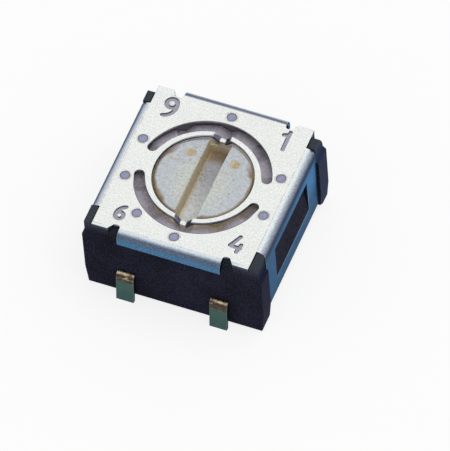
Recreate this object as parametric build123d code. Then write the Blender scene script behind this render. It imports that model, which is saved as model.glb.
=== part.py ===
from build123d import *
import math
import os

# Rotary coded switch, ten positions, for surface mounting. Millimetres.
# Z = 0 is the plane of the leads' ends, +Z is up, the origin is under the dial's centre.
# Position 0 of the dial is at +Y (the back), and positions count clockwise seen from above.

# Overall heights
STAND_OFF = 0.1             # housing bottom above the leads' ends
BODY_HEIGHT = 5.16          # housing bottom to the cover's top plane

# Dial and spring ring seen from above, from the middle outwards
POSITIONS = 10
KNOB_RADIUS = 2.5
DIAL_GAP = 0.11             # knob to the cover's hole
SPRING_ARM_WIDTH = 0.38
SPRING_ARM_TAPER = 0.13     # the arms narrow by this towards the detents
ARC_SLOT_WIDTH = 0.51
ARC_SLOT_HALF_ANGLE = 78.5  # to the tip of the round end
FLANGE_MARGIN = 0.24        # flange past the curved slots
SIDE_WALL = 0.68            # housing wall at the sides
END_WALL = 0.76             # housing wall at the front and back

# Sheet metal of the cover
COVER_SHEET = 0.2
COVER_BEND_RADIUS = 0.45    # outside radius of the bends
FLAP_LIFT = 0.66            # side flaps end this far above the housing's bottom
FLAP_CORNER_RADIUS = 0.2
FLAP_END_FRAME = 1.2        # flap beside its window
FLAP_BOTTOM_FRAME = 0.96    # flap below its window
WINDOW_TOP_DEPTH = 1.17
SKIRT_DROP = 0.77
TAB_WIDTH = 0.86            # corner tab at its tip
TAB_FLARE = 0.25            # and wider by this at its root
TAB_TIP_OVERHANG = 0.02     # tab tip past the housing face
NOTCH_WIDTH = 0.34          # notch between tab and skirt
NOTCH_DEPTH = 0.34
NOTCH_END_RADIUS = 0.15
DETENT_HALF_WIDTH = 0.5
DETENT_FLAT_HALF_WIDTH = 0.13
DETENT_DEPTH = 0.4

# Stamped marks of the dial
DOTTED_POSITIONS = (0, 2, 3, 5, 6, 7, 8)
DOT_MARGIN = 0.45           # dot circle outside the curved slots
DOT_RADIUS = 0.28
DOT_DEPTH = 0.09
DIGIT_INSET = 1.1           # digit centres from the tabs' outer edges
DIGIT_DEPTH = 0.07
DIGIT_STROKE = 0.22
DIGIT_BOWL_RADIUS = 0.28    # of the nine
SMALL_BOWL_RADIUS = 0.2     # of the six

# Housing
PILLAR_LENGTH = 1.09            # corner pillars, along the side
PILLAR_PROUD = 0.14             # past the cover's flaps
PILLAR_SHOULDER_DEPTH = 1.05    # below this the pillars are wider
PILLAR_STEP = 0.18
POST_WIDTH = 0.39               # upper part of a pillar
POST_TOP_RADIUS = 0.1
BACK_SLOPE_DEPTH = 1.2          # the back pillars' tops curve down to the back face
BACK_SLOPE_RUN = 0.46
BACK_SLOPE_BULGE = 0.11
BACK_TOE_CHAMFER = 0.4          # inner lower edge of the back pillars
PILLAR_TAPER = 0.12             # the pillars narrow towards the bottom
PILLAR_TAPER_HEIGHT = 1.2
CORNER_RADIUS = 0.08
LUG_HEIGHT = 0.22               # snap lug in each window
UNDERSIDE_RIM = 1.4
UNDERSIDE_RECESS = 0.5
UNDERSIDE_CORNER_RADIUS = 0.5
CHAMBER_DEPTH = 0.98            # code disc to the floor of the contact chamber
BORE_FLOOR = 0.3                # left under the pivot

# Rotor
KNOB_TOP_DEPTH = 0.1
KNOB_EDGE_RADIUS = 0.07
FACET_START_Y = 0.66            # the pointer end slopes down from here
FACET_DROP = 0.14
DRIVE_SLOT_WIDTH = 1.2
DRIVE_SLOT_DEPTH = 1.04
DIMPLE_MARGIN = 0.71            # dimple centres from the knob's edge
DIMPLE_ANGLE = 42               # to each side of the pointer
DIMPLE_RADIUS = 0.27
DIMPLE_DEPTH = 0.12
FLANGE_THICKNESS = 0.66
GROOVE_HALF_WIDTH = 0.5         # detent grooves in the flange
GROOVE_DEPTH = 0.35
BARREL_LAND = 0.2               # above and below the seal's groove
PIVOT_RADIUS = 0.6
PIVOT_CHAMFER = 0.1
HUB_WALL = 0.15                 # double-D hub that locks the code disc
HUB_FLAT_DEPTH = 0.07

# Seal ring
SEAL_SECTION_RADIUS = 0.28

# Code disc: a common track round the hub, then four code tracks
DISC_THICKNESS = 0.12
COMMON_TRACK_MARGIN = 0.2
TRACK_PITCH = 0.375
TRACK_WIDTH = 0.26
DISC_EDGE = 0.27                # outer track's middle to the disc's rim

# Terminals: a contact arm, a moulded-in strip and a flat lead in one stamping
LEAD_SHEET = 0.2
LEAD_WIDTH = 0.96
LEAD_PITCH = 2.54
LEAD_BEND_RADIUS = 0.3          # outside radius
LEAD_TOP_OFFSET = 0.3           # lead's outer face from the housing face, at the top
LEAD_LEAN_ANGLE = 7             # the lead leans outwards to its cut end
ARM_WIDTH = 0.3
ARM_ROOT_INSET = 0.1
ARM_HOOK = 0.2
BRIDGE_MARGIN = 0.2             # strip between arm and lead, outside the seal's bore
BRIDGE_WIDTH = 0.3
FRONT_ARM_ANGLE = 64            # where the arms meet their tracks, from the Y axis
BACK_ARM_ANGLE = 57
TERMINALS = (
    # name, side (-1 front, +1 back), lead column, code weight, track (0 is the common one)
    ("terminal_1", -1, -1, 1, 4),
    ("terminal_2", 1, -1, 2, 3),
    ("terminal_4", -1, 1, 4, 2),
    ("terminal_8", 1, 1, 8, 1),
    ("terminal_common", 1, 0, 0, 0),
)

# Clearances
FLAP_CLEARANCE = 0.04           # flap to the housing's side
SKIRT_CLEARANCE = 0.1           # skirt to the housing's face
PILLAR_CLEARANCE = 0.05         # flap and tab edges to the pillars
WINDOW_CLEARANCE = 0.06         # lug to the window
DETENT_CLEARANCE = 0.05         # detents to the rotor's lands
FLANGE_CLEARANCE = 0.06         # radial, in the housing
FLANGE_SEAT_CLEARANCE = 0.03    # flange on its shoulder
BARREL_CLEARANCE = 0.15         # barrel in the seal's bore, radial
PIVOT_CLEARANCE = 0.03          # radial
PIVOT_END_CLEARANCE = 0.1
SEAL_CLEARANCE = 0.02           # seal ring to rotor and housing
DISC_INSET = 0.03               # code disc inside the barrel's edge
HUB_CLEARANCE = 0.01            # code disc on its hub
CONTACT_CLEARANCE = 0.03        # contact arms to the code disc

# Derived: dial, spring ring and well, outwards
DIAL_HOLE_RADIUS = KNOB_RADIUS + DIAL_GAP
ARC_SLOT_INNER_RADIUS = DIAL_HOLE_RADIUS + SPRING_ARM_WIDTH
ARC_SLOT_OUTER_RADIUS = ARC_SLOT_INNER_RADIUS + ARC_SLOT_WIDTH
DOT_CIRCLE_RADIUS = ARC_SLOT_OUTER_RADIUS + DOT_MARGIN
FLANGE_RADIUS = ARC_SLOT_OUTER_RADIUS + FLANGE_MARGIN
WELL_RADIUS = FLANGE_RADIUS + FLANGE_CLEARANCE
SIDE_FACE_X = WELL_RADIUS + SIDE_WALL
FLAP_HALF_SPAN = SIDE_FACE_X + FLAP_CLEARANCE + COVER_SHEET
HOUSING_HALF_WIDTH = FLAP_HALF_SPAN + PILLAR_PROUD
POST_OUTER_X = HOUSING_HALF_WIDTH - PILLAR_STEP
POST_INNER_X = POST_OUTER_X - POST_WIDTH
TAB_OUTER_X = POST_INNER_X - PILLAR_CLEARANCE
TAB_INNER_TIP_X = TAB_OUTER_X - TAB_WIDTH
TAB_INNER_ROOT_X = TAB_INNER_TIP_X - TAB_FLARE
SKIRT_HALF_LENGTH = TAB_INNER_ROOT_X - NOTCH_WIDTH
HOUSING_HALF_LENGTH = WELL_RADIUS + END_WALL
SKIRT_HALF_SPAN = HOUSING_HALF_LENGTH + SKIRT_CLEARANCE + COVER_SHEET
NOTCH_END_Y = HOUSING_HALF_LENGTH - NOTCH_DEPTH
PILLAR_INNER_Y = HOUSING_HALF_LENGTH - PILLAR_LENGTH
FLAP_HALF_LENGTH = PILLAR_INNER_Y - PILLAR_CLEARANCE
WINDOW_HALF_LENGTH = FLAP_HALF_LENGTH - FLAP_END_FRAME
FLAP_DROP = BODY_HEIGHT - FLAP_LIFT
WINDOW_BOTTOM_DEPTH = FLAP_DROP - FLAP_BOTTOM_FRAME
DIGIT_X = TAB_OUTER_X - DIGIT_INSET
DIGIT_Y = HOUSING_HALF_LENGTH - DIGIT_INSET

# Derived: hub, code disc, barrel and seal, outwards
HUB_RADIUS = PIVOT_RADIUS + HUB_WALL
HUB_FLAT = HUB_RADIUS - HUB_FLAT_DEPTH
COMMON_TRACK_RADIUS = HUB_RADIUS + COMMON_TRACK_MARGIN
OUTER_TRACK_RADIUS = COMMON_TRACK_RADIUS + TRACK_PITCH * (len(TERMINALS) - 1)
DISC_RADIUS = OUTER_TRACK_RADIUS + DISC_EDGE
BARREL_RADIUS = DISC_RADIUS + DISC_INSET
SEAL_BORE_RADIUS = BARREL_RADIUS + BARREL_CLEARANCE
SEAL_GROOVE_HALF_HEIGHT = SEAL_SECTION_RADIUS + SEAL_CLEARANCE

# Derived: heights, downwards
TOP_Z = STAND_OFF + BODY_HEIGHT
KNOB_TOP_Z = TOP_Z - KNOB_TOP_DEPTH
COVER_UNDERSIDE_Z = TOP_Z - COVER_SHEET
FLANGE_TOP_Z = COVER_UNDERSIDE_Z - DETENT_DEPTH - DETENT_CLEARANCE
FLANGE_BOTTOM_Z = FLANGE_TOP_Z - FLANGE_THICKNESS
SHOULDER_Z = FLANGE_BOTTOM_Z - FLANGE_SEAT_CLEARANCE
SEAL_Z = FLANGE_BOTTOM_Z - BARREL_LAND - SEAL_GROOVE_HALF_HEIGHT
ROTOR_FACE_Z = SEAL_Z - SEAL_GROOVE_HALF_HEIGHT - BARREL_LAND
DISC_BOTTOM_Z = ROTOR_FACE_Z - DISC_THICKNESS
FLOOR_Z = DISC_BOTTOM_Z - CHAMBER_DEPTH
RECESS_TOP_Z = STAND_OFF + UNDERSIDE_RECESS
PIVOT_BORE_Z = RECESS_TOP_Z + BORE_FLOOR
PIVOT_BOTTOM_Z = PIVOT_BORE_Z + PIVOT_END_CLEARANCE
STRIP_END_Y = SEAL_BORE_RADIUS + BRIDGE_MARGIN
POSITION_ANGLE = 360 / POSITIONS
TOLERANCE = 0.001               # for picking edges by place


def block(x_low, x_high, y_low, y_high, z_low, z_high):
    """Box between two corners."""
    size = (x_high - x_low, y_high - y_low, z_high - z_low)
    return Pos(x_low, y_low, z_low) * Box(*size, align=(Align.MIN,) * 3)


def disc(radius, z_low, z_high):
    """Upright cylinder on the dial's axis."""
    return Pos(0, 0, z_low) * Cylinder(radius, z_high - z_low, align=(Align.CENTER, Align.CENTER, Align.MIN))


def dial_angle(position):
    """Angle of a dial position, counter-clockwise from +X."""
    return 90 - position * POSITION_ANGLE


def on_circle(radius, angle):
    """Point on a circle about the dial's axis."""
    return radius * math.cos(math.radians(angle)), radius * math.sin(math.radians(angle))


def ring_sector(inner, outer, start, sweep):
    """Flat face between two radii and two angles."""
    outline = [
        CenterArc((0, 0), inner, start, sweep),
        Line(on_circle(inner, start + sweep), on_circle(outer, start + sweep)),
        CenterArc((0, 0), outer, start, sweep),
        Line(on_circle(outer, start), on_circle(inner, start)),
    ]
    return make_face(Curve() + outline)


def channel(half_span, half_length, drop):
    """Sheet bent down on both sides: a flat top with two filleted walls across X."""
    outer = block(-half_span, half_span, -half_length, half_length, TOP_Z - drop, TOP_Z)
    inner_span = half_span - COVER_SHEET
    inner = block(-inner_span, inner_span, -half_length, half_length, TOP_Z - drop, COVER_UNDERSIDE_Z)
    outer = fillet(outer.edges().filter_by(Axis.Y).group_by(Axis.Z)[-1], COVER_BEND_RADIUS)
    inner = fillet(inner.edges().filter_by(Axis.Y).group_by(Axis.Z)[-1], COVER_BEND_RADIUS - COVER_SHEET)
    return outer - inner


def side_flaps():
    """Channel whose walls are the two long side flaps with their windows."""
    flaps = channel(FLAP_HALF_SPAN, FLAP_HALF_LENGTH, FLAP_DROP)
    flaps = fillet(flaps.edges().filter_by(Axis.X).group_by(Axis.Z)[0], FLAP_CORNER_RADIUS)
    window = block(
        -FLAP_HALF_SPAN, FLAP_HALF_SPAN, -WINDOW_HALF_LENGTH, WINDOW_HALF_LENGTH,
        TOP_Z - WINDOW_BOTTOM_DEPTH, TOP_Z - WINDOW_TOP_DEPTH,
    )
    return flaps - window


def corner_plate():
    """Flat top plate with four corner tabs, which rest on the housing."""
    tip_y = HOUSING_HALF_LENGTH + TAB_TIP_OVERHANG
    quarter = Polyline(
        (0, 0), (TAB_OUTER_X, 0), (TAB_OUTER_X, tip_y), (TAB_INNER_TIP_X, tip_y),
        (TAB_INNER_ROOT_X, NOTCH_END_Y), (0, NOTCH_END_Y), (0, 0),
    )
    face = make_face(quarter)
    face = face + mirror(face, about=Plane.YZ)
    face = face + mirror(face, about=Plane.XZ)
    return Pos(0, 0, COVER_UNDERSIDE_Z) * extrude(face, COVER_SHEET)


def round_notches(cover):
    """Rounded inner ends of the notches between tabs and skirts."""
    corners = []
    for edge in cover.edges().filter_by(Axis.Z):
        at = edge.center()
        on_notch = abs(abs(at.Y) - NOTCH_END_Y) < TOLERANCE
        if on_notch and SKIRT_HALF_LENGTH - TOLERANCE < abs(at.X) < TAB_INNER_ROOT_X + TOLERANCE:
            corners.append(edge)
    return fillet(corners, NOTCH_END_RADIUS)


def arc_slot():
    """Curved slot over position 0 that frees one half of the spring ring."""
    end_half_width = (ARC_SLOT_OUTER_RADIUS - arm_outer_radius(ARC_SLOT_HALF_ANGLE)) / 2
    end_radius = ARC_SLOT_OUTER_RADIUS - end_half_width
    straight_angle = ARC_SLOT_HALF_ANGLE - math.degrees(math.asin(end_half_width / end_radius))
    wedge = ring_sector(
        DIAL_HOLE_RADIUS, ARC_SLOT_OUTER_RADIUS, 90 - straight_angle, 2 * straight_angle
    )
    arm_edge = Pos(0, -SPRING_ARM_TAPER) * Circle(ARC_SLOT_INNER_RADIUS)
    face = wedge - arm_edge
    for angle in (90 - straight_angle, 90 + straight_angle):
        face += Pos(*on_circle(end_radius, angle)) * Circle(end_half_width)
    return Pos(0, 0, COVER_UNDERSIDE_Z) * extrude(face, COVER_SHEET)


def arm_outer_radius(angle_from_detent):
    """Outer radius of the spring arm at an angle from its detent."""
    along = SPRING_ARM_TAPER * math.cos(math.radians(angle_from_detent))
    across = SPRING_ARM_TAPER * math.sin(math.radians(angle_from_detent))
    return math.sqrt(ARC_SLOT_INNER_RADIUS ** 2 - across ** 2) - along


def spring_detent():
    """Pressed-down trapezoid in the spring arm at position 0."""
    slope = math.atan2(DETENT_DEPTH, DETENT_HALF_WIDTH - DETENT_FLAT_HALF_WIDTH)
    spread = COVER_SHEET * math.tan(slope / 2)
    top = [(DETENT_HALF_WIDTH, 0), (DETENT_FLAT_HALF_WIDTH, -DETENT_DEPTH)]
    bottom = [(x + spread, z - COVER_SHEET) for x, z in top]
    right = [(DETENT_HALF_WIDTH + spread, 0)] + top
    left = [(-x, z) for x, z in reversed(right)]
    under_left = [(-x, z) for x, z in bottom]
    under_right = list(reversed(bottom))
    outline = make_face(Polyline(*right, *left, *under_left, *under_right, right[0]))
    profile = Plane.XZ.offset(-ARC_SLOT_INNER_RADIUS) * outline
    bar = Pos(0, 0, TOP_Z) * extrude(profile, ARC_SLOT_INNER_RADIUS)
    low, high = TOP_Z - DETENT_DEPTH - COVER_SHEET, TOP_Z
    arm_band = Pos(0, -SPRING_ARM_TAPER, 0) * disc(ARC_SLOT_INNER_RADIUS, low, high)
    return bar & (arm_band - disc(DIAL_HOLE_RADIUS, low, high))


def detent_gap():
    """Piece of the flat arm that the pressed detent takes."""
    return block(
        -DETENT_HALF_WIDTH, DETENT_HALF_WIDTH, 0, ARC_SLOT_INNER_RADIUS, COVER_UNDERSIDE_Z, TOP_Z
    )


def stroke(*points):
    """Rounded pen stroke: straight through two points, curved through three."""
    if len(points) == 2:
        (x0, y0), (x1, y1) = points
        length = math.hypot(x1 - x0, y1 - y0)
        tilt = math.degrees(math.atan2(y1 - y0, x1 - x0))
        return Pos((x0 + x1) / 2, (y0 + y1) / 2) * Rot(0, 0, tilt) * SlotCenterToCenter(length, DIGIT_STROKE)
    return SlotArc(ThreePointArc(*points), DIGIT_STROKE)


def ring_mark(x, y, radius):
    """Closed bowl of a digit."""
    return Pos(x, y) * (Circle(radius + DIGIT_STROKE / 2) - Circle(radius - DIGIT_STROKE / 2))


def digit_one():
    """Placed in the back right corner, as the others in theirs."""
    return Pos(DIGIT_X, DIGIT_Y) * (
        stroke((0.02, -0.54), (0.02, 0.59)) + stroke((-0.25, 0.34), (0.02, 0.42))
    )


def digit_four():
    return Pos(DIGIT_X, -DIGIT_Y) * (
        stroke((0.03, 0.62), (-0.3, -0.02))
        + stroke((-0.3, -0.02), (0.26, -0.06))
        + stroke((0.23, 0.16), (0.15, -0.32))
    )


def digit_nine():
    return Pos(-DIGIT_X, DIGIT_Y) * (
        ring_mark(-0.04, 0.3, DIGIT_BOWL_RADIUS) + stroke((0.24, 0.3), (0.16, -0.26), (-0.26, -0.54))
    )


def digit_six():
    return Pos(-DIGIT_X, -DIGIT_Y) * (
        ring_mark(0.04, -0.16, SMALL_BOWL_RADIUS) + stroke((-0.16, -0.16), (-0.08, 0.21), (0.2, 0.41))
    )


def stamped_digits():
    """Digits at the four corners of the dial."""
    face = digit_one() + digit_four() + digit_nine() + digit_six()
    return Pos(0, 0, TOP_Z - DIGIT_DEPTH) * extrude(face, DIGIT_DEPTH)


def stamped_dots():
    """Dished dots at the positions without a digit."""
    ball_radius = (DOT_RADIUS ** 2 + DOT_DEPTH ** 2) / (2 * DOT_DEPTH)
    dots = []
    for position in DOTTED_POSITIONS:
        x, y = on_circle(DOT_CIRCLE_RADIUS, dial_angle(position))
        dots.append(Pos(x, y, TOP_Z + ball_radius - DOT_DEPTH) * Sphere(ball_radius))
    return dots


def make_cover():
    """One bright stamping: top plate, tabs, skirts, windowed flaps and spring ring."""
    cover = side_flaps() + Rot(0, 0, 90) * channel(SKIRT_HALF_SPAN, SKIRT_HALF_LENGTH, SKIRT_DROP)
    cover += corner_plate()
    cover = round_notches(cover)
    cover -= disc(DIAL_HOLE_RADIUS, COVER_UNDERSIDE_Z, TOP_Z)
    for turn in (0, 180):
        cover -= Rot(0, 0, turn) * arc_slot()
        cover -= Rot(0, 0, turn) * detent_gap()
    for turn in (0, 180):
        cover += Rot(0, 0, turn) * spring_detent()
    cover -= stamped_digits()
    for dot in stamped_dots():
        cover -= dot
    return cover


def track_radius(track):
    """Middle radius of a contact track of the code disc."""
    return COMMON_TRACK_RADIUS + TRACK_PITCH * track


def contact_point(side, column, track):
    """Where an arm from the front meets its track: X and Y, on the front half for the common track."""
    if column == 0:
        return 0, -track_radius(track)
    angle = math.radians(BACK_ARM_ANGLE if side > 0 else FRONT_ARM_ANGLE)
    return column * track_radius(track) * math.sin(angle), track_radius(track) * math.cos(angle)


def contact_arm(tip_x, tip_y):
    """Spring arm from the front, bent up from the floor to the code disc."""
    middle = LEAD_SHEET / 2
    root_y = math.sqrt(SEAL_BORE_RADIUS ** 2 - tip_x ** 2) - ARM_ROOT_INSET
    tip_z = DISC_BOTTOM_Z - CONTACT_CLEARANCE - middle
    path = Polyline(
        (-STRIP_END_Y, FLOOR_Z - middle), (-root_y, FLOOR_Z - middle),
        (tip_y, tip_z), (tip_y + ARM_HOOK, tip_z - ARM_HOOK),
    )
    return sheet_strip(path, tip_x, ARM_WIDTH)


def sheet_strip(path, x, width):
    """Bent sheet of the terminals' thickness along a path in the YZ plane."""
    section = Plane.YZ.offset(x - width / 2) * trace(path, LEAD_SHEET)
    return extrude(section, width)


def make_lead(lead_x):
    """Strip and lead at the front: out and down, cut off flat at the bottom."""
    middle = LEAD_SHEET / 2
    strip_z = FLOOR_Z - middle
    top_y = -(HOUSING_HALF_LENGTH + LEAD_TOP_OFFSET - middle)
    below_y = top_y - FLOOR_Z * math.tan(math.radians(LEAD_LEAN_ANGLE))
    path = FilletPolyline(
        (-STRIP_END_Y, strip_z), (top_y, strip_z), (below_y, -middle), radius=LEAD_BEND_RADIUS - middle
    )
    half = LEAD_WIDTH / 2
    room = block(lead_x - half, lead_x + half, below_y - LEAD_SHEET, 0, 0, FLOOR_Z)
    return sheet_strip(path, lead_x, LEAD_WIDTH) & room


def make_terminal(side, column, track):
    """One stamping: contact arm, moulded-in strip and lead."""
    column = -column if side > 0 else column
    lead_x = column * LEAD_PITCH
    tip_x, tip_y = contact_point(side, column, track)
    lead = make_lead(lead_x)
    low_x = min(tip_x - ARM_WIDTH / 2, lead_x - LEAD_WIDTH / 2)
    high_x = max(tip_x + ARM_WIDTH / 2, lead_x + LEAD_WIDTH / 2)
    bridge = block(
        low_x, high_x, -STRIP_END_Y - BRIDGE_WIDTH, -STRIP_END_Y, FLOOR_Z - LEAD_SHEET, FLOOR_Z
    )
    terminal = lead + bridge + contact_arm(tip_x, tip_y)
    return Rot(0, 0, 180) * terminal if side > 0 else terminal


def missing_runs(weight):
    """Runs of neighbouring positions at which this code weight is off."""
    off = [not position & weight for position in range(POSITIONS)]
    starts = [p for p in range(POSITIONS) if off[p] and not off[p - 1]]
    runs = []
    for start in starts:
        length = 1
        while off[(start + length) % POSITIONS]:
            length += 1
        runs.append((start, length))
    return runs


def code_windows(side, column, weight, track):
    """Curved windows in the code disc where one contact arm finds no metal."""
    tip_x, tip_y = contact_point(side, column, track)
    arm_angle = math.degrees(math.atan2(-tip_y if side > 0 else tip_y, tip_x))
    inner = track_radius(track) - TRACK_WIDTH / 2
    windows = []
    for start, length in missing_runs(weight):
        first = arm_angle + (start - 1 / 2) * POSITION_ANGLE
        face = ring_sector(inner, inner + TRACK_WIDTH, first, length * POSITION_ANGLE)
        windows.append(Pos(0, 0, DISC_BOTTOM_Z) * extrude(face, DISC_THICKNESS))
    return windows


def double_d(radius, flat, z_low, z_high):
    """Round hub with two flats."""
    return disc(radius, z_low, z_high) & block(-radius, radius, -flat, flat, z_low, z_high)


def make_code_disc():
    """Stamped contact disc under the rotor, with the binary code as windows."""
    plate = disc(DISC_RADIUS, DISC_BOTTOM_Z, ROTOR_FACE_Z)
    plate -= double_d(HUB_RADIUS + HUB_CLEARANCE, HUB_FLAT + HUB_CLEARANCE, DISC_BOTTOM_Z, ROTOR_FACE_Z)
    for name, side, column, weight, track in TERMINALS:
        if weight:
            for window in code_windows(side, column, weight, track):
                plate -= window
    return plate


def seal_groove():
    """Groove in the rotor's barrel that holds the seal ring."""
    bottom_radius = SEAL_BORE_RADIUS - 2 * SEAL_GROOVE_HALF_HEIGHT
    low, high = SEAL_Z - SEAL_GROOVE_HALF_HEIGHT, SEAL_Z + SEAL_GROOVE_HALF_HEIGHT
    return disc(SEAL_BORE_RADIUS, low, high) - disc(bottom_radius, low, high)


def detent_groove(position):
    """V groove in the flange for the cover's detent at one dial position."""
    profile = make_face(Polyline(
        (-GROOVE_HALF_WIDTH, 0), (GROOVE_HALF_WIDTH, 0), (0, -GROOVE_DEPTH), (-GROOVE_HALF_WIDTH, 0)
    ))
    groove = extrude(Plane.XZ.offset(-FLANGE_RADIUS - GROOVE_DEPTH) * profile,
                     FLANGE_RADIUS + GROOVE_DEPTH - KNOB_RADIUS)
    return Rot(0, 0, -position * POSITION_ANGLE) * Pos(0, 0, FLANGE_TOP_Z) * groove


def pointer_facet():
    """Wedge that slopes the pointer end of the knob down to its edge."""
    side = make_face(Polyline(
        (FACET_START_Y, KNOB_TOP_Z), (KNOB_RADIUS, KNOB_TOP_Z - FACET_DROP), (KNOB_RADIUS, TOP_Z),
        (FACET_START_Y, TOP_Z), (FACET_START_Y, KNOB_TOP_Z),
    ))
    return extrude(Plane.YZ.offset(-KNOB_RADIUS) * side, 2 * KNOB_RADIUS)


def drive_slot():
    """Screwdriver slot across the knob, from position 0 to position 5."""
    floor_z = KNOB_TOP_Z - DRIVE_SLOT_DEPTH
    half = DRIVE_SLOT_WIDTH / 2
    bar = block(-half, half, -KNOB_RADIUS, KNOB_RADIUS, floor_z, TOP_Z)
    return bar & disc(KNOB_RADIUS, floor_z, TOP_Z)


def dimples():
    """Two shallow dishes beside the slot that mark the pointer end."""
    ball_radius = (DIMPLE_RADIUS ** 2 + DIMPLE_DEPTH ** 2) / (2 * DIMPLE_DEPTH)
    x, y = on_circle(KNOB_RADIUS - DIMPLE_MARGIN, 90 - DIMPLE_ANGLE)
    fall = FACET_DROP * (y - FACET_START_Y) / (KNOB_RADIUS - FACET_START_Y)
    centre_z = KNOB_TOP_Z - fall + ball_radius - DIMPLE_DEPTH
    return [Pos(side * x, y, centre_z) * Sphere(ball_radius) for side in (-1, 1)]


def make_rotor():
    """Moulded dial: slotted knob, flange with detent grooves, sealed barrel and pivot."""
    knob = disc(KNOB_RADIUS, FLANGE_TOP_Z, KNOB_TOP_Z)
    knob = fillet(knob.edges().group_by(Axis.Z)[-1], KNOB_EDGE_RADIUS)
    flange = disc(FLANGE_RADIUS, FLANGE_BOTTOM_Z, FLANGE_TOP_Z)
    for position in range(POSITIONS):
        flange -= detent_groove(position)
    barrel = disc(BARREL_RADIUS, ROTOR_FACE_Z, FLANGE_BOTTOM_Z) - seal_groove()
    hub = double_d(HUB_RADIUS, HUB_FLAT, DISC_BOTTOM_Z, ROTOR_FACE_Z)
    pivot = disc(PIVOT_RADIUS, PIVOT_BOTTOM_Z, ROTOR_FACE_Z)
    pivot = chamfer(pivot.edges().group_by(Axis.Z)[0], PIVOT_CHAMFER)
    rotor = knob + flange + barrel + hub + pivot
    rotor -= pointer_facet()
    rotor -= drive_slot()
    for dimple in dimples():
        rotor -= dimple
    return rotor


def make_seal_ring():
    """Rubber ring between the rotor's barrel and the housing bore."""
    ring_radius = SEAL_BORE_RADIUS - SEAL_SECTION_RADIUS - SEAL_CLEARANCE
    return Pos(0, 0, SEAL_Z) * Torus(ring_radius, SEAL_SECTION_RADIUS)


def pillar_profile():
    """Outline of a corner pillar seen along the side, with its taper, shoulder and post."""
    shoulder_z = TOP_Z - PILLAR_SHOULDER_DEPTH
    return make_face(Polyline(
        (POST_INNER_X, STAND_OFF), (HOUSING_HALF_WIDTH - PILLAR_TAPER, STAND_OFF),
        (HOUSING_HALF_WIDTH, STAND_OFF + PILLAR_TAPER_HEIGHT),
        (HOUSING_HALF_WIDTH, shoulder_z - PILLAR_STEP), (POST_OUTER_X, shoulder_z),
        (POST_OUTER_X, TOP_Z), (POST_INNER_X, TOP_Z), (POST_INNER_X, STAND_OFF),
    ))


def corner_pillar():
    """Housing corner outside the cover's tab, at +X +Y, up to the cover's top plane."""
    pillar = extrude(Plane.XZ.offset(-HOUSING_HALF_LENGTH) * pillar_profile(), PILLAR_LENGTH)
    top_edges = pillar.edges().filter_by(Axis.Y).group_by(Axis.Z)[-1]
    pillar = fillet(top_edges.sort_by(Axis.X)[-1], POST_TOP_RADIUS)
    outer_edges = []
    for edge in pillar.edges():
        at = edge.center()
        if abs(at.Y - HOUSING_HALF_LENGTH) < TOLERANCE and at.X > POST_OUTER_X - TOLERANCE:
            outer_edges.append(edge)
    return fillet(outer_edges, CORNER_RADIUS)


def back_pillar():
    """Corner pillar of the back, with its cut inner toe."""
    return corner_pillar() - back_toe()


def back_slope():
    """Cutter that curves the top beside the +X tab down to the back face."""
    start = (HOUSING_HALF_LENGTH - BACK_SLOPE_RUN, TOP_Z)
    corner = (HOUSING_HALF_LENGTH, TOP_Z)
    end = (HOUSING_HALF_LENGTH, TOP_Z - BACK_SLOPE_DEPTH)
    arc = SagittaArc(start, end, BACK_SLOPE_BULGE)
    side = make_face(Curve() + [arc, Line(end, corner), Line(corner, start)])
    return extrude(Plane.YZ.offset(TAB_OUTER_X) * side, HOUSING_HALF_WIDTH - TAB_OUTER_X, dir=(1, 0, 0))


def back_toe():
    """Wedge that cuts a back pillar's inner lower edge."""
    side = make_face(Polyline(
        (PILLAR_INNER_Y, STAND_OFF), (PILLAR_INNER_Y + BACK_TOE_CHAMFER, STAND_OFF),
        (PILLAR_INNER_Y, STAND_OFF + BACK_TOE_CHAMFER), (PILLAR_INNER_Y, STAND_OFF),
    ))
    return extrude(Plane.YZ * side, HOUSING_HALF_WIDTH)


def bend_relief(face_y, half_length, size):
    """Chamfer along the seat's +Y edge that clears the inside of a bend."""
    seat = COVER_UNDERSIDE_Z
    side = make_face(Polyline(
        (face_y - size, seat), (face_y, seat), (face_y, seat - size), (face_y - size, seat)
    ))
    return extrude(Plane.YZ.offset(-half_length) * side, 2 * half_length)


def snap_lug():
    """Ramped lug on the +X side that snaps into the flap's window."""
    half_length = WINDOW_HALF_LENGTH - WINDOW_CLEARANCE
    top_z = TOP_Z - WINDOW_TOP_DEPTH - WINDOW_CLEARANCE
    bottom_z = TOP_Z - WINDOW_BOTTOM_DEPTH + WINDOW_CLEARANCE
    ramp = make_face(Polyline(
        (SIDE_FACE_X, top_z), (SIDE_FACE_X + LUG_HEIGHT, bottom_z), (SIDE_FACE_X, bottom_z),
        (SIDE_FACE_X, top_z),
    ))
    return extrude(Plane.XZ.offset(-half_length) * ramp, 2 * half_length)


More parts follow.
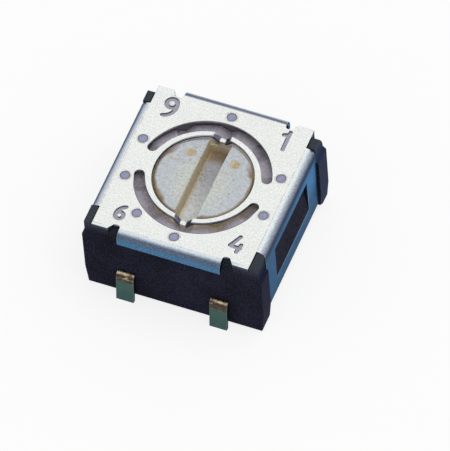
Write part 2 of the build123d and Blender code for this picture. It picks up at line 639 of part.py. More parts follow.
def make_housing(terminals):
    """Black moulded body with rotor well, contact chamber and corner pillars."""
    seat = COVER_UNDERSIDE_Z
    housing = block(
        -SIDE_FACE_X, SIDE_FACE_X, -HOUSING_HALF_LENGTH, HOUSING_HALF_LENGTH, STAND_OFF, seat
    )
    for outside in (mirror(corner_pillar(), about=Plane.XZ), back_pillar(), snap_lug()):
        housing += outside
        housing += mirror(outside, about=Plane.YZ)
    housing -= back_slope()
    housing -= mirror(back_slope(), about=Plane.YZ)
    skirt_relief = bend_relief(HOUSING_HALF_LENGTH, TAB_INNER_TIP_X, COVER_BEND_RADIUS)
    flap_relief = bend_relief(SIDE_FACE_X, PILLAR_INNER_Y, COVER_BEND_RADIUS - COVER_SHEET)
    for turn in (0, 180):
        housing -= Rot(0, 0, turn) * skirt_relief
        housing -= Rot(0, 0, turn + 90) * flap_relief
    housing -= disc(WELL_RADIUS, SHOULDER_Z, seat)
    housing -= disc(SEAL_BORE_RADIUS, FLOOR_Z, SHOULDER_Z)
    housing -= disc(PIVOT_RADIUS + PIVOT_CLEARANCE, PIVOT_BORE_Z, FLOOR_Z)
    recess_x, recess_y = SIDE_FACE_X - UNDERSIDE_RIM, HOUSING_HALF_LENGTH - UNDERSIDE_RIM
    recess = block(-recess_x, recess_x, -recess_y, recess_y, STAND_OFF, RECESS_TOP_Z)
    housing -= fillet(recess.edges().filter_by(Axis.Z), UNDERSIDE_CORNER_RADIUS)
    for terminal in terminals:
        housing -= terminal
    return housing


def main():
    os.makedirs("parts", exist_ok=True)
    nodes = {"cover": make_cover(), "rotor": make_rotor(), "code_disc": make_code_disc(),
             "seal_ring": make_seal_ring()}
    for name, side, column, weight, track in TERMINALS:
        nodes[name] = make_terminal(side, column, track)
    terminals = [nodes[row[0]] for row in TERMINALS]
    nodes["housing"] = make_housing(terminals)
    for name, solid in nodes.items():
        export_step(solid, f"parts/{name}.step")
        print(name, round(solid.volume, 4), solid.bounding_box())


main()
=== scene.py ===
"""Finishes, softened edges, studio and camera for a rotary coded switch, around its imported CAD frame."""

import logging
import math
from dataclasses import dataclass
from enum import Enum
from functools import cached_property, partial, reduce
from typing import Any

import bmesh
import bpy
from mathutils import Matrix, Vector


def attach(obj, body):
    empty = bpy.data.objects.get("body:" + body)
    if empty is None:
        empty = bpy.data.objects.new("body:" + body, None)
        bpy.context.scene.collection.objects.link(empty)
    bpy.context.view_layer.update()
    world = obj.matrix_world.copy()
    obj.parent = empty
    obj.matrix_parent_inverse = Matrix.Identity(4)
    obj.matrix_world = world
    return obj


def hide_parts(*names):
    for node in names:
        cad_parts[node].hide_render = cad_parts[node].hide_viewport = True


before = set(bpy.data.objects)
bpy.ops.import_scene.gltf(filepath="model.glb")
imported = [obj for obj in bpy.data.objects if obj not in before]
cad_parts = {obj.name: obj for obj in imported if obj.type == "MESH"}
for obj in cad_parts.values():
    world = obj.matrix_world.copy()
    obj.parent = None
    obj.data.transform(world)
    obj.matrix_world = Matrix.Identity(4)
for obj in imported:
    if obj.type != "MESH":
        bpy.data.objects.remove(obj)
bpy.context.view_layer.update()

LOG = logging.getLogger("rotary_switch")
MM = 0.001                      # metres in a millimetre
IMAGE_WIDTH = 450               # pixels
WORN = "worn_edge"              # face attribute: 1 on the softened edges

# Sizes that several pieces share, in millimetres
TOP_Z = 5.26                    # the cover's top plane
COVER_SHEET = 0.2
BEND_RADIUS = 0.45              # outside radius of the cover's bends
FLAP_FACE_X = 4.72
SKIRT_FACE_Y = 4.86
RING_RADIUS = 3.5               # outer edge of the curved slots
KNOB_RADIUS = 2.5
KNOB_TOP_Z = 5.16
LEAD_TOP_Z = 1.85

POSITION_STEP = math.radians(36)    # from one position of the dial to the next

Socket = bpy.types.NodeSocket
Stops = tuple[tuple[float, str], ...]
Band = tuple[float, float]      # where a share starts and where it is full, lengths in millimetres


class Side(Enum):
    """Body of the frame that a piece moves with."""

    BODY = "body"
    DIAL = "dial"


def linear(colour: str) -> tuple[float, float, float, float]:
    """Turn an sRGB hex colour into linear RGBA.

    Args:
        colour: six hex digits after a hash sign.

    Returns:
        The linear red, green and blue, with an alpha of 1.
    """
    channels = []
    for start in (1, 3, 5):
        value = int(colour[start:start + 2], 16) / 255
        channels.append(value / 12.92 if value <= 0.04045 else ((value + 0.055) / 1.055) ** 2.4)
    return (*channels, 1.0)


def add_node(
    tree: bpy.types.NodeTree,
    kind: str,
    sockets: dict[str | int, Any] | None = None,
    stops: Stops = (),
    **settings: Any,
) -> bpy.types.Node:
    """Add a node with its settings, values and links.

    Args:
        tree: node tree that gets the node.
        kind: the node's type name.
        sockets: a value, or a socket to link from, for each named input.
        stops: place and hex colour of each stop of a colour ramp.
        **settings: the node's own properties.

    Returns:
        The new node.
    """
    node = tree.nodes.new(kind)
    for key, value in settings.items():
        setattr(node, key, value)
    for key, value in (sockets or {}).items():
        if isinstance(value, Socket):
            tree.links.new(value, node.inputs[key])
        else:
            node.inputs[key].default_value = value
    for index, (place, colour) in enumerate(stops):
        elements = node.color_ramp.elements
        stop = elements[index] if index < len(elements) else elements.new(place)
        stop.position = place
        stop.color = linear(colour)
    return node


@dataclass(frozen=True)
class Grain:
    """Random pattern whose grains have a real width, in millimetres."""

    width: float
    detail: float = 2.0             # how many finer layers it has
    squeeze: tuple[float, float, float] = (1.0, 1.0, 1.0)
    patches: Band = (0.3, 0.7)      # noise where its patches start and where they are full


@dataclass(frozen=True)
class Coat:
    """Colour that lies over another one."""

    colour: str
    cover: float = 1.0              # how far it hides what is under it


class Surface:
    """A material under construction: its tree, shader and the fields that finishes mix from."""

    def __init__(self, name: str, shader_values: dict[str, Any]) -> None:
        """Start a material with one shader.

        Args:
            name: the material's name.
            shader_values: constants for the shader's own sockets.
        """
        self.material = bpy.data.materials.new(name)
        self.material.use_nodes = True
        self.tree = self.material.node_tree
        self.shader = self.tree.nodes["Principled BSDF"]
        for key, value in shader_values.items():
            self.shader.inputs[key].default_value = value
        place = add_node(self.tree, "ShaderNodeTexCoord")
        self.millimetres = self.scaled(place.outputs["Object"], 1 / MM)
        split = add_node(self.tree, "ShaderNodeSeparateXYZ", {0: self.millimetres})
        self.x, self.y, self.z = split.outputs
        facing = add_node(self.tree, "ShaderNodeSeparateXYZ", {0: place.outputs["Normal"]})
        self.facing_x, _, self.facing_z = facing.outputs

    @cached_property
    def reach_x(self) -> Socket:
        """Distance across from the middle."""
        return self.math("ABSOLUTE", self.x)

    @cached_property
    def reach_y(self) -> Socket:
        """Distance along from the middle."""
        return self.math("ABSOLUTE", self.y)

    @cached_property
    def depth(self) -> Socket:
        """Depth under the cover's top plane."""
        return self.math("SUBTRACT", TOP_Z, self.z)

    def math(self, operation: str, *values: Any, clamp: bool = False) -> Socket:
        """Work out a number from numbers or sockets.

        Args:
            operation: Blender's name of the operation.
            *values: its inputs in order.
            clamp: keep the result between 0 and 1.

        Returns:
            The result's socket.
        """
        sockets = dict(enumerate(values))
        node = add_node(self.tree, "ShaderNodeMath", sockets, operation=operation, use_clamp=clamp)
        return node.outputs[0]

    def scaled(self, value: Socket, factor: Any) -> Socket:
        """Multiply a vector or colour by a number."""
        sockets = {0: value, "Scale": factor}
        return add_node(self.tree, "ShaderNodeVectorMath", sockets, operation="SCALE").outputs[0]

    def step(self, value: Any, low: float, high: float) -> Socket:
        """Go smoothly from 0 at low to 1 at high; the order of low and high may be turned round.

        Args:
            value: socket to measure.
            low: value that gives 0.
            high: value that gives 1.

        Returns:
            The share's socket.
        """
        sockets = {"Value": value, "From Min": min(low, high), "From Max": max(low, high)}
        if low > high:
            sockets.update({"To Min": 1.0, "To Max": 0.0})
        node = add_node(self.tree, "ShaderNodeMapRange", sockets, interpolation_type="SMOOTHSTEP")
        return node.outputs["Result"]

    def between(self, share: Any, low: float, high: float, clamp: bool = False) -> Socket:
        """Turn a share into a number from low to high."""
        return self.math("MULTIPLY_ADD", share, high - low, low, clamp=clamp)

    def both(self, *shares: Any) -> Socket:
        """Multiply several shares."""
        return reduce(partial(self.math, "MULTIPLY"), shares)

    def most(self, *shares: Any) -> Socket:
        """Take the largest of several shares."""
        return reduce(partial(self.math, "MAXIMUM"), shares)

    def away(self, value: Any, centre: float) -> Socket:
        """Distance of a value from a centre."""
        return self.math("ABSOLUTE", self.math("SUBTRACT", value, centre))

    def radius(self, x: float = 0.0, y: float = 0.0) -> Socket:
        """Distance in the XY plane from a point, in millimetres.

        Args:
            x: the point's place across.
            y: the point's place along.

        Returns:
            The distance's socket.
        """
        across = self.math("SUBTRACT", self.x, x)
        along = self.math("SUBTRACT", self.y, y)
        squares = self.math("ADD", self.math("POWER", across, 2.0), self.math("POWER", along, 2.0))
        return self.math("SQRT", squares)

    def noise(self, grain: Grain) -> Socket:
        """Noise with grains of a real size.

        Args:
            grain: the pattern's width, detail and direction.

        Returns:
            The noise's socket, about 0.5.
        """
        sockets = {0: self.millimetres, 1: grain.squeeze}
        place = add_node(self.tree, "ShaderNodeVectorMath", sockets, operation="MULTIPLY").outputs[0]
        sockets = {"Vector": place, "Scale": 1 / grain.width, "Detail": grain.detail, "Roughness": 0.6}
        return add_node(self.tree, "ShaderNodeTexNoise", sockets).outputs["Fac"]

    def patches(self, grain: Grain) -> Socket:
        """Share of a noise's patches."""
        return self.step(self.noise(grain), *grain.patches)

    def mix(self, share: Any, base: Any, over: Any) -> Socket:
        """Lay one colour over another.

        Args:
            share: how much of the upper colour shows.
            base: hex colour or socket underneath.
            over: hex colour or socket on top.

        Returns:
            The mixed colour's socket.
        """
        lower, upper = (linear(colour) if isinstance(colour, str) else colour for colour in (base, over))
        sockets = {0: share, 6: lower, 7: upper}    # the node has its colour inputs at 6 and 7
        return add_node(self.tree, "ShaderNodeMix", sockets, data_type="RGBA").outputs[2]

    def lay(self, coat: Coat, base: Any, *shares: Any) -> Socket:
        """Lay a coat over a colour where every share is full.

        Args:
            coat: colour and cover on top.
            base: hex colour or socket underneath.
            *shares: numbers or sockets.

        Returns:
            The new colour's socket.
        """
        return self.mix(self.both(*shares, coat.cover), base, coat.colour)

    def by_turn(self, stops: Stops) -> Socket:
        """Colour by how far a face has turned, from 0 when upright to 1 when level."""
        return add_node(self.tree, "ShaderNodeValToRGB", {0: self.facing_z}, stops=stops).outputs["Color"]

    def shade(self, colour: Any, noise: Any, depth: float) -> Socket:
        """Lighten and darken a colour by noise.

        Args:
            colour: the colour's socket.
            noise: noise about 0.5.
            depth: change of brightness over the noise's whole range.

        Returns:
            The changed colour's socket.
        """
        return self.scaled(colour, self.between(noise, 1 - depth / 2, 1 + depth / 2))

    def worn(self) -> Socket:
        """Share of edge wear: 1 on the softened edges of a twin."""
        return add_node(self.tree, "ShaderNodeAttribute", attribute_name=WORN).outputs["Fac"]

    def finish(self, colour: Any, roughness: Any, height: Any, depth: float) -> bpy.types.Material:
        """Link colour, roughness and relief to the shader.

        Args:
            colour: base colour socket.
            roughness: roughness socket.
            height: relief, from 0 to 1.
            depth: height of the relief in millimetres.

        Returns:
            The finished material.
        """
        relief = add_node(self.tree, "ShaderNodeBump", {"Height": height, "Distance": depth * MM})
        for key, value in (("Base Color", colour), ("Roughness", roughness), ("Normal", relief.outputs[0])):
            self.tree.links.new(value, self.shader.inputs[key])
        return self.material


@dataclass(frozen=True)
class RolledStainless:
    """Stainless spring steel, bright rolled and stamped.

    Rolling leaves a fine sparkling grain on a nearly white face. The bends and upright sides carry a
    painted reflection that goes through grey to steel blue, with painted shade just under the bends.
    Pierced walls are bright above and torn grey below, sheared ends are dark, and the struck marks are
    a dull mottled grey with painted shade round the dots' rims. Painted shade also lies on the detents'
    slopes, where the bends start and along the slots' edge in front of the dial, and a painted
    highlight lies on the detents' flats.
    """

    name: str = "rolled_stainless_spring_steel"
    top: str = "#eaedea"
    grazing: str = "#a9b8c8"        # tint of the metal seen at a flat angle
    # painted reflection: the steel blue of the skirts' upright faces
    skirt_reflection_blue: str = "#52799b"
    # painted reflection and shade on the bends, by how far a face has turned; each side as the light falls
    # on it
    right_bend_reflection: Stops = (
        (0.0, "#454c5c"), (0.17, "#4a4f5f"), (0.34, "#5c606f"), (0.5, "#787e8e"), (0.64, "#8d96a6"),
        (0.77, "#a1aab9"), (0.87, "#c1c9d2"), (0.94, "#dee6eb"), (0.99, top),
    )
    left_bend_reflection: Stops = (
        (0.0, "#394152"), (0.5, "#525868"), (0.77, "#767b8c"), (0.87, "#a2a7b6"), (0.94, "#bcc2ce"),
        (0.985, "#c4cbd3"), (0.999, top),
    )
    front_bend_reflection: Stops = (
        (0.0, skirt_reflection_blue), (0.34, "#4c6b86"), (0.5, "#566a80"), (0.64, "#5a6275"), (0.77, "#606879"),
        (0.87, "#929eb0"), (0.94, "#c4d2df"), (0.985, "#dce5ea"), (0.998, top),
    )
    back_bend_reflection: Stops = (
        (0.0, skirt_reflection_blue), (0.4, "#566a80"), (0.6, "#c9cfd8"), (0.82, "#c9cfd8"), (0.9, "#6b7082"),
        (0.96, "#727685"), (0.985, "#858a98"), (0.998, "#b4b8c4"), (1.0, top),
    )
    bend_margin: float = 0.02       # how far inside a bend's start its colours begin
    # painted reflection on the flaps: lighter at the back, darker at the foot
    flap_reflection_front: str = "#4e6b8c"
    flap_reflection_back: str = "#6092c2"
    flap_reflection_low: str = "#4a637d"
    flap_shade: str = "#424a5a"     # just under the bend
    bend_end: Band = (0.38, 0.5)    # depths under the top plane
    shade_end: Band = (0.5, 0.95)
    flap_middle: Band = (1.6, 3.4)
    flap_foot: Band = (3.7, 4.0)
    flap_length: Band = (-3.4, 3.4)
    sheared: str = "#4a4b55"
    pierced: str = "#7c7a80"        # torn lower part of the slots' and the hole's walls
    burnished: str = "#dfe2e3"      # and their sheared upper part
    burnished_depth: Band = (0.12, 0.08)
    cut_margin: float = 0.03        # under the sheet, still counted as its edge
    upright: Band = (0.4, 0.2)      # of a face's upward direction
    ring_margin: float = 0.1        # past the curved slots, still counted as the ring
    slot_edge_shade: Coat = Coat("#4c4a52", 0.85)   # painted shade: a dark line along the slots' outer edge, in front of the dial
    slot_edge_shade_middle: float = 0.015    # outside the ring's edge
    slot_edge_shade_width: Band = (0.045, 0.02)
    slot_edge_shade_front: Band = (-1.2, -1.7)
    struck: str = "#9da3bf"
    digit: str = "#a8a8b2"
    mark_wall: str = "#7c7b8a"
    # painted shade on the dots' rims, also the dark of the marks' mottle
    mark_shade_and_mottle: str = "#5f5d70"
    rim_shade_cover: float = 0.9          # of the painted shade on the dots' rims
    mottle_cover: float = 0.6
    mark_depth: Band = (0.001, 0.012)
    dotted: tuple[int, ...] = (0, 2, 3, 5, 6, 7, 8)
    dot_circle: float = 3.95
    dot_radius: float = 0.28
    dot_rim: float = 0.1
    dot_blur: float = 0.03
    dot_rim_end: float = 0.01
    stain: Coat = Coat("#a98f78", 0.5)      # faint ring that stamping leaves round each dot
    stain_width: float = 0.1
    # painted shade on the detents' slopes
    detent_slope_shade: Coat = Coat("#68637a")
    slope_turn: Band = (0.12, 0.3)  # of a face's sideways direction
    slope_depth: Band = (0.01, 0.06)
    # painted highlight: the top's white laid on the detents' flats
    detent_flat: float = 0.13       # half width of the detents' flats
    flat_blur: float = 0.05
    flat_depth: Band = (0.25, 0.32)
    slot_width: float = 0.4         # from the ring's outer edge in to where the detents end
    bend_line_shade: Coat = Coat("#8e9399", 0.5)     # painted shade: a faint line where each bend starts
    score_width: Band = (0.035, 0.01)
    score_reach: float = 3.3
    rubbed: Coat = Coat("#c9ced2", 0.25)
    rolled: Grain = Grain(0.07, 3.0)    # rolled grain is nearer 0.02 mm, too fine to show
    mottle: Grain = Grain(0.07, patches=(0.45, 0.65))
    blotches: Grain = Grain(1.4)
    blotch_depth: float = 0.1
    stains: Grain = Grain(0.3, patches=(0.3, 0.6))
    breaks: Grain = Grain(0.2, patches=(0.3, 0.6))
    scratches: Grain = Grain(0.05, 1.0, (1.0, 0.04, 1.0))
    scratch_height: float = 0.4     # beside the grain's
    level_sparkle: float = 0.3
    bend_sparkle: float = 0.6
    turning: Band = (0.98, 0.8)     # upward direction of a face that goes into a bend
    roughness: Band = (0.23, 0.37)
    relief: float = 0.0016

    def side_reflection_colour(self, surface: Surface) -> Socket:
        """Painted reflection on the long flaps and their bends, with painted shade just under the bends.

        Args:
            surface: the material being built.

        Returns:
            The colour's socket.
        """
        on_right = surface.math("GREATER_THAN", surface.x, 0.0)
        bend = surface.mix(on_right, surface.by_turn(self.left_bend_reflection), surface.by_turn(self.right_bend_reflection))
        lit = surface.mix(surface.step(surface.depth, *self.flap_middle), self.flap_reflection_back, self.flap_reflection_front)
        flap = surface.mix(surface.step(surface.y, *self.flap_length), self.flap_reflection_front, lit)
        flap = surface.mix(surface.step(surface.depth, *self.flap_foot), flap, self.flap_reflection_low)
        flap = surface.mix(surface.step(surface.depth, *self.shade_end), self.flap_shade, flap)
        return surface.mix(surface.step(surface.depth, *self.bend_end), bend, flap)

    def sheet_reflection_colour(self, surface: Surface) -> Socket:
        """Painted reflection on the top, the flaps and the short skirts, with their bends.

        Args:
            surface: the material being built.

        Returns:
            The colour's socket.
        """
        at_back = surface.math("GREATER_THAN", surface.y, 0.0)
        skirts = surface.mix(at_back, surface.by_turn(self.front_bend_reflection), surface.by_turn(self.back_bend_reflection))
        at_end = surface.math("GREATER_THAN", surface.reach_y, SKIRT_FACE_Y - BEND_RADIUS - self.bend_margin)
        return surface.mix(at_end, self.side_reflection_colour(surface), skirts)

    def inside(self, surface: Surface) -> Socket:
        """Share that is 1 between the bends.

        Args:
            surface: the material being built.

        Returns:
            The share's socket.
        """
        return surface.both(
            surface.math("LESS_THAN", surface.reach_x, FLAP_FACE_X - BEND_RADIUS),
            surface.math("LESS_THAN", surface.reach_y, SKIRT_FACE_Y - BEND_RADIUS),
        )

    def from_dot(self, surface: Surface) -> Socket:
        """Distance from the centre of the nearest dot, in millimetres.

        Args:
            surface: the material being built.

        Returns:
            The distance's socket.
        """
        nearest = surface.radius()
        for position in self.dotted:
            angle = position * POSITION_STEP
            reach = surface.radius(self.dot_circle * math.sin(angle), self.dot_circle * math.cos(angle))
            nearest = surface.math("MINIMUM", nearest, reach)
        return nearest

    def with_marks(self, surface: Surface, colour: Socket) -> Socket:
        """Add the stained rings, the dots with painted shade on their rims, and the digits.

        Args:
            surface: the material being built.
            colour: the sheet's colour.

        Returns:
            The new colour's socket.
        """
        off = self.from_dot(surface)
        ring = surface.step(off, self.dot_radius + self.stain_width, self.dot_radius + self.dot_blur)
        colour = surface.lay(self.stain, colour, self.inside(surface), ring, surface.patches(self.stains))
        in_dot = surface.step(off, self.dot_radius + self.dot_blur, self.dot_radius)
        # painted shade along each dot's rim
        dot_rim_shade = surface.both(
            surface.step(off, self.dot_radius - self.dot_rim, self.dot_radius - self.dot_blur),
            surface.step(off, self.dot_radius + self.dot_blur, self.dot_radius + self.dot_rim_end),
            self.rim_shade_cover,
        )
        dark = surface.most(dot_rim_shade, surface.both(surface.patches(self.mottle), self.mottle_cover))
        mark = surface.mix(dark, surface.mix(in_dot, self.digit, self.struck), self.mark_shade_and_mottle)
        struck = surface.both(
            self.inside(surface), surface.step(surface.depth, *self.mark_depth),
            surface.math("GREATER_THAN", surface.radius(), RING_RADIUS),
        )
        return surface.mix(struck, colour, mark)

    def with_edges(self, surface: Surface, colour: Socket) -> Socket:
        """Add painted shade on the detents' slopes, a painted highlight on their flats, and the cut and
        pierced walls.

        Args:
            surface: the material being built.
            colour: the sheet's colour.

        Returns:
            The new colour's socket.
        """
        # painted shade on the detents' slopes
        colour = surface.lay(
            self.detent_slope_shade, colour,
            surface.step(surface.math("ABSOLUTE", surface.facing_x), *self.slope_turn),
            surface.step(surface.depth, *self.slope_depth),
            surface.math("LESS_THAN", surface.radius(), RING_RADIUS - self.slot_width),
        )
        by_ring = surface.math("LESS_THAN", surface.radius(), RING_RADIUS + self.ring_margin)
        in_sheet = surface.step(surface.depth, COVER_SHEET + self.cut_margin, COVER_SHEET)
        wall = surface.mix(surface.step(surface.depth, *self.burnished_depth), self.pierced, self.burnished)
        outer = surface.mix(self.inside(surface), self.sheared, self.mark_wall)
        cut = surface.both(surface.step(surface.facing_z, *self.upright), surface.most(in_sheet, by_ring))
        colour = surface.mix(cut, colour, surface.mix(by_ring, outer, wall))
        # painted highlight on the detents' flats
        flat = surface.both(
            surface.step(surface.reach_x, self.detent_flat + self.flat_blur, self.detent_flat), by_ring,
            surface.step(surface.depth, *self.flat_depth),
        )
        return surface.mix(flat, colour, self.top)

    def with_lines(self, surface: Surface, colour: Socket) -> Socket:
        """Add a faint line of painted shade where the front and side bends start.

        Args:
            surface: the material being built.
            colour: the sheet's colour.

        Returns:
            The new colour's socket.
        """
        from_front = surface.away(surface.y, BEND_RADIUS - SKIRT_FACE_Y - self.bend_margin)
        from_side = surface.away(surface.reach_x, FLAP_FACE_X - BEND_RADIUS - self.bend_margin)
        within_flap = surface.math("LESS_THAN", surface.reach_y, self.score_reach)
        lines = surface.most(
            surface.both(surface.step(from_side, *self.score_width), within_flap),
            surface.step(from_front, *self.score_width),
        )
        return surface.lay(self.bend_line_shade, colour, lines, surface.patches(self.breaks))

    def material(self) -> bpy.types.Material:
        """Build the material.

        Returns:
            The finished material.
        """
        surface = Surface(self.name, {"Metallic": 1.0, "Specular Tint": linear(self.grazing)})
        # painted shade: a dark line along the slots' outer edge, only in front of the dial
        from_ring = surface.away(surface.radius(), RING_RADIUS + self.slot_edge_shade_middle)
        colour = surface.lay(
            self.slot_edge_shade, self.sheet_reflection_colour(surface),
            surface.step(from_ring, *self.slot_edge_shade_width), surface.step(surface.y, *self.slot_edge_shade_front),
        )
        colour = self.with_edges(surface, self.with_marks(surface, colour))
        colour = self.with_lines(surface, colour)
        grain = surface.noise(self.rolled)
        sparkle = surface.step(grain, *self.rolled.patches)
        colour = surface.mix(
            surface.step(surface.facing_z, *self.turning),
            surface.shade(colour, sparkle, self.level_sparkle),
            surface.shade(colour, sparkle, self.bend_sparkle),
        )
        colour = surface.shade(colour, surface.noise(self.blotches), self.blotch_depth)
        colour = surface.lay(self.rubbed, colour, surface.worn())
        relief = surface.math("MULTIPLY_ADD", surface.noise(self.scratches), self.scratch_height, grain)
        return surface.finish(colour, surface.between(grain, *self.roughness), relief, self.relief)


@dataclass(frozen=True)
class MouldedGlassFilled:
    """Black glass-filled thermoplastic, moulded in a spark-eroded tool.

    The tool's texture gives a dull blue-black face with a fine mottle. Dust greys it towards the
    cover, and rubbed edges turn paler. Painted light lies on the upward faces, the pillars' sides and
    the wall of the rotor's well.
    """

    name: str = "black_glass_filled_moulding"
    body: str = "#0e0c14"
    mottle: str = "#2c2d43"
    # painted light on the upward faces
    upper: Coat = Coat("#20242e", 0.55)
    # painted light on the pillars' side faces: bluer, and lighter towards the back
    side: str = "#1b2036"
    pillar_side_light_back: str = "#2e3a54"
    pillar_side_light_cover: float = 0.7
    dusty: Coat = Coat("#444b50")
    rubbed: Coat = Coat("#3a424f", 0.7)
    well_painted_light: Coat = Coat("#85808c")     # painted light: pale purple-grey on the wall of the rotor's well, where shade falls under the cover
    well_reach: float = 3.85        # distance from the axis that takes in the well's wall
    well_depth: Band = (1.4, 1.0)   # depths under the cover's top plane
    dust_depth: Band = (0.85, -0.05)
    dust_grain: Band = (0.35, 0.65)
    dust_cover: Band = (0.4, 0.8)
    pillars: Band = (2.6, 3.2)      # distance along from the middle
    length: Band = (-3.0, 3.0)
    upward: Band = (0.3, 0.95)      # direction of the faces, for the painted light on top faces
    sideways: Band = (0.5, 0.95)
    spark: Grain = Grain(0.07, 3.0)     # spark texture is nearer 0.04 mm, too fine to show
    clouds: Grain = Grain(1.8)
    cloud_share: float = 0.2
    rubs: Grain = Grain(0.5, patches=(0.35, 0.7))
    mottled: Band = (0.52, 0.72)
    roughness: Band = (0.6, 0.8)
    relief: float = 0.006

    def pillar_light_colour(self, surface: Surface, colour: Socket) -> Socket:
        """Add painted light on the side faces of the corner pillars: bluer, and lighter towards the back.

        Args:
            surface: the material being built.
            colour: the moulding's colour.

        Returns:
            The new colour's socket.
        """
        side = surface.both(
            surface.step(surface.math("ABSOLUTE", surface.facing_x), *self.sideways),
            surface.step(surface.reach_y, *self.pillars), self.pillar_side_light_cover,
        )
        side_light = surface.mix(surface.step(surface.y, *self.length), self.side, self.pillar_side_light_back)
        return surface.mix(side, colour, side_light)

    def material(self) -> bpy.types.Material:
        """Build the material.

        Returns:
            The finished material.
        """
        surface = Surface(self.name, {"IOR": 1.58, "Specular IOR Level": 0.03})
        grain = surface.noise(self.spark)
        clouded = surface.math("MULTIPLY_ADD", surface.noise(self.clouds), self.cloud_share, grain)
        colour = surface.mix(surface.step(clouded, *self.mottled), self.body, self.mottle)
        # painted light on the upward faces
        colour = surface.lay(self.upper, colour, surface.step(surface.facing_z, *self.upward))
        colour = self.pillar_light_colour(surface, colour)
        dust = surface.between(surface.step(grain, *self.dust_grain), *self.dust_cover)
        colour = surface.lay(self.dusty, colour, surface.step(surface.depth, *self.dust_depth), dust)
        colour = surface.lay(self.rubbed, colour, surface.worn(), surface.patches(self.rubs))
        # painted light on the wall of the rotor's well
        in_well = surface.math("LESS_THAN", surface.radius(), self.well_reach)
        colour = surface.lay(self.well_painted_light, colour, in_well, surface.step(surface.depth, *self.well_depth))
        return surface.finish(colour, surface.between(grain, *self.roughness), grain, self.relief)


